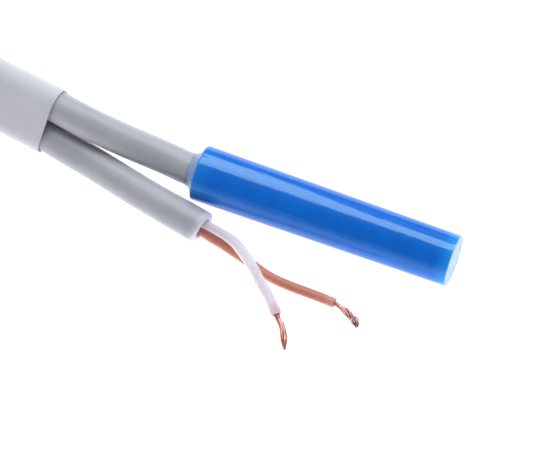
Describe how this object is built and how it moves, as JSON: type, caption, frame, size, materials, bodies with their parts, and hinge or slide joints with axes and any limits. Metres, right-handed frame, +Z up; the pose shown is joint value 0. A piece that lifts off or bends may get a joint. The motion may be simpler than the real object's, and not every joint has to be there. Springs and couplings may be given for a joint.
{
  "type": "cylindrical reed proximity sensor",
  "caption": "Blue cylindrical reed proximity sensor potted on a grey round cable, with the cable's cut end stripped to a white and a brown core with bare copper ends.",
  "frame": {"origin": "on the table under the middle of the sensor, resin collar included", "axes": "+X along the sensor's axis from the cable to the closed tip, +Z up from the table"},
  "size_m": [0.1276, 0.0338, 0.0095],
  "materials": {
    "housing_blue": "gloss",
    "potting_resin": "gloss",
    "capsule_glass": "clear",
    "reed_metal": "satin",
    "solder": "satin",
    "jacket_grey": "satin",
    "core_white": "satin",
    "core_brown": "satin",
    "bare_copper": "bright",
    "tie_white": "matt"
  },
  "bodies": {
    "sensor": {"housing": "housing_blue", "potting": "potting_resin", "glass_capsule": "capsule_glass", "cable_side_solder": "solder", "tip_side_solder": "solder", "white_core_inner": "core_white", "brown_core_inner": "core_brown", "white_strands_inner": "bare_copper", "brown_strands_inner": "bare_copper", "cable_sensor_run": "jacket_grey", "cable_hank": "jacket_grey", "cable_tail_run": "jacket_grey", "hank_tie": "tie_white", "white_core_tail": "core_white", "brown_core_tail": "core_brown", "white_strands_tail": "bare_copper", "brown_strands_tail": "bare_copper"},
    "cable_reed": {"cable_side_reed": "reed_metal"},
    "tip_reed": {"tip_side_reed": "reed_metal"}
  },
  "joints": [
    {"name": "cable_side_reed_flex", "type": "hinge", "parent": "sensor", "child": "cable_reed", "pos_m": [0.00015, 0.0012, 0.0033], "axis": [0, 1, 0], "range_deg": [0, 0.33], "stiffness_Nm_per_rad": 0.058, "deforming": ["cable_side_reed"]},
    {"name": "tip_side_reed_flex", "type": "hinge", "parent": "sensor", "child": "tip_reed", "pos_m": [0.00855, 0.0012, 0.0033], "axis": [0, 1, 0], "range_deg": [0, 0.33], "stiffness_Nm_per_rad": 0.058, "deforming": ["tip_side_reed"]}
  ]
}
